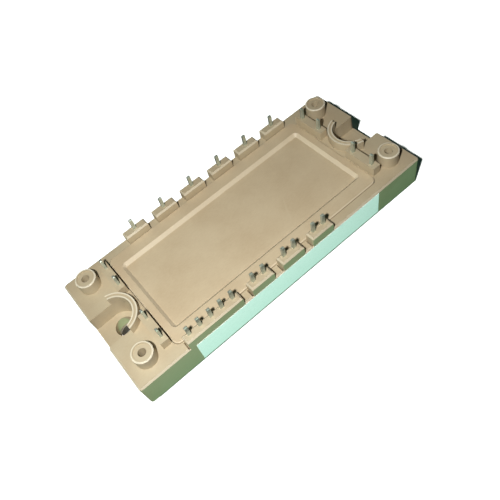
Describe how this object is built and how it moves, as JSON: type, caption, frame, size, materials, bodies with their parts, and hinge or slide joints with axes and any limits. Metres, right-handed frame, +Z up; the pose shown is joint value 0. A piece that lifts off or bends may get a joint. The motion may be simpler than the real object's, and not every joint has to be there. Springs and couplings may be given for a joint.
{
  "type": "igbt module",
  "caption": "Flat power switch module: moulded frame on a metal base plate, with solder pins, circuit board stand-offs and screw pockets at both ends.",
  "frame": {"origin": "centre of the base plate's underside", "axes": "+X along the module, +Y across it away from the labelled wall, +Z up out of the base plate towards the pins"},
  "size_m": [0.1076, 0.0451, 0.0202],
  "materials": {
    "beige_plastic": "matt moulded thermoplastic",
    "plated_copper": "nickel-plated copper plate",
    "silicone_glue": "cured silicone adhesive",
    "label_paper": "satin label film",
    "clear_gel": "soft clear silicone gel",
    "solder": "reflowed solder",
    "bare_copper": "bare copper",
    "white_ceramic": "white alumina",
    "silicon_chip": "passivated silicon",
    "aluminium_ribbon": "soft aluminium ribbon",
    "tinned_pin": "tin-plated copper blade"
  },
  "bodies": {
    "root": {"base_plate": "plated_copper", "frame_adhesive": "silicone_glue", "frame": "beige_plastic", "lid": "beige_plastic", "label": "label_paper", "silicone_gel": "clear_gel", "substrate_solder": "solder", "substrate_bottom_copper": "bare_copper", "substrate_ceramic": "white_ceramic", "substrate_top_copper": "bare_copper", "chip_solder": "solder", "emitter_ribbons": "aluminium_ribbon", "gate_ribbons": "aluminium_ribbon", "terminal_ribbons": "aluminium_ribbon", "igbt_chip_1": "silicon_chip", "igbt_chip_2": "silicon_chip", "igbt_chip_3": "silicon_chip", "igbt_chip_4": "silicon_chip", "igbt_chip_5": "silicon_chip", "igbt_chip_6": "silicon_chip", "diode_chip_1": "silicon_chip", "diode_chip_2": "silicon_chip", "diode_chip_3": "silicon_chip", "diode_chip_4": "silicon_chip", "diode_chip_5": "silicon_chip", "diode_chip_6": "silicon_chip", "terminal_back_1": "tinned_pin", "terminal_back_2": "tinned_pin", "terminal_back_3": "tinned_pin", "terminal_back_4": "tinned_pin", "terminal_back_5": "tinned_pin", "terminal_back_6": "tinned_pin", "terminal_front_01": "tinned_pin", "terminal_front_02": "tinned_pin", "terminal_front_03": "tinned_pin", "terminal_front_04": "tinned_pin", "terminal_front_05": "tinned_pin", "terminal_front_06": "tinned_pin", "terminal_front_07": "tinned_pin", "terminal_front_08": "tinned_pin", "terminal_front_09": "tinned_pin", "terminal_front_10": "tinned_pin", "terminal_front_11": "tinned_pin", "terminal_left_1": "tinned_pin", "terminal_left_2": "tinned_pin", "terminal_left_3": "tinned_pin", "terminal_left_4": "tinned_pin", "terminal_right_1": "tinned_pin", "terminal_right_2": "tinned_pin", "terminal_right_3": "tinned_pin", "terminal_right_4": "tinned_pin"}
  },
  "joints": []
}
